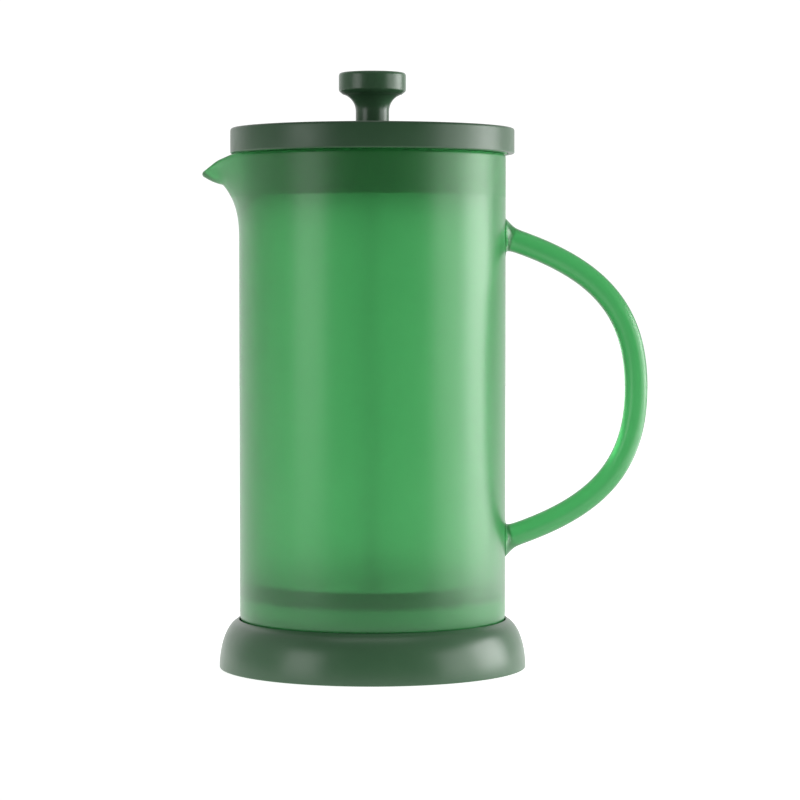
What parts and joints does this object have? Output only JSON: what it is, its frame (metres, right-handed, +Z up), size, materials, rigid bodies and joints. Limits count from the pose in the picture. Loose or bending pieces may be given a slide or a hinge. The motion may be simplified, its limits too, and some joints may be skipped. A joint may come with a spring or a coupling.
{
  "type": "french press",
  "caption": "Coffee press with a frosted glass carafe, spout and looped handle, a flared base, a flat lid and a plunger with a layered filter.",
  "frame": {"origin": "on the carafe's axis, on the flat underside of the non-slip pad, at the height of the surface that the press stands on", "axes": "+Z up along the carafe's axis, +X towards the handle, -X towards the spout"},
  "size_m": [0.1674, 0.1154, 0.2233],
  "materials": {
    "green_glass": "satin frosted, tinted green",
    "green_plastic": "fine satin moulded",
    "green_silicone": "matte",
    "steel": "stainless, lightly brushed",
    "brass": "machined"
  },
  "bodies": {
    "base": {"base_shell": "green_plastic", "base_cushion": "green_silicone", "base_foot_pad": "green_silicone"},
    "carafe": {"carafe_body": "green_glass", "carafe_handle": "green_glass"},
    "guide": {"rod_guide": "steel"},
    "lid": {"lid_cap": "green_plastic", "lid_sleeve": "green_plastic"},
    "plunger": {"plunger_knob": "green_plastic", "knob_insert": "brass", "plunger_rod": "steel", "lock_nut": "steel", "spring_plate": "steel", "spring_coil": "steel", "filter_mesh": "steel", "cross_plate": "steel", "hub_nut": "steel"}
  },
  "joints": [
    {"name": "carafe_lift", "type": "slide", "parent": "base", "child": "carafe", "axis": [0, 0, 1], "range_m": [0, 0.03]},
    {"name": "lid_lift", "type": "slide", "parent": "carafe", "child": "guide", "axis": [0, 0, 1], "range_m": [0, 0.18]},
    {"name": "lid_turn", "type": "hinge", "parent": "guide", "child": "lid", "pos_m": [0, 0, 0.2], "axis": [0, 0, 1], "continuous": true},
    {"name": "plunger_slide", "type": "slide", "parent": "guide", "child": "plunger", "axis": [0, 0, 1], "range_m": [0, 0.13]}
  ]
}
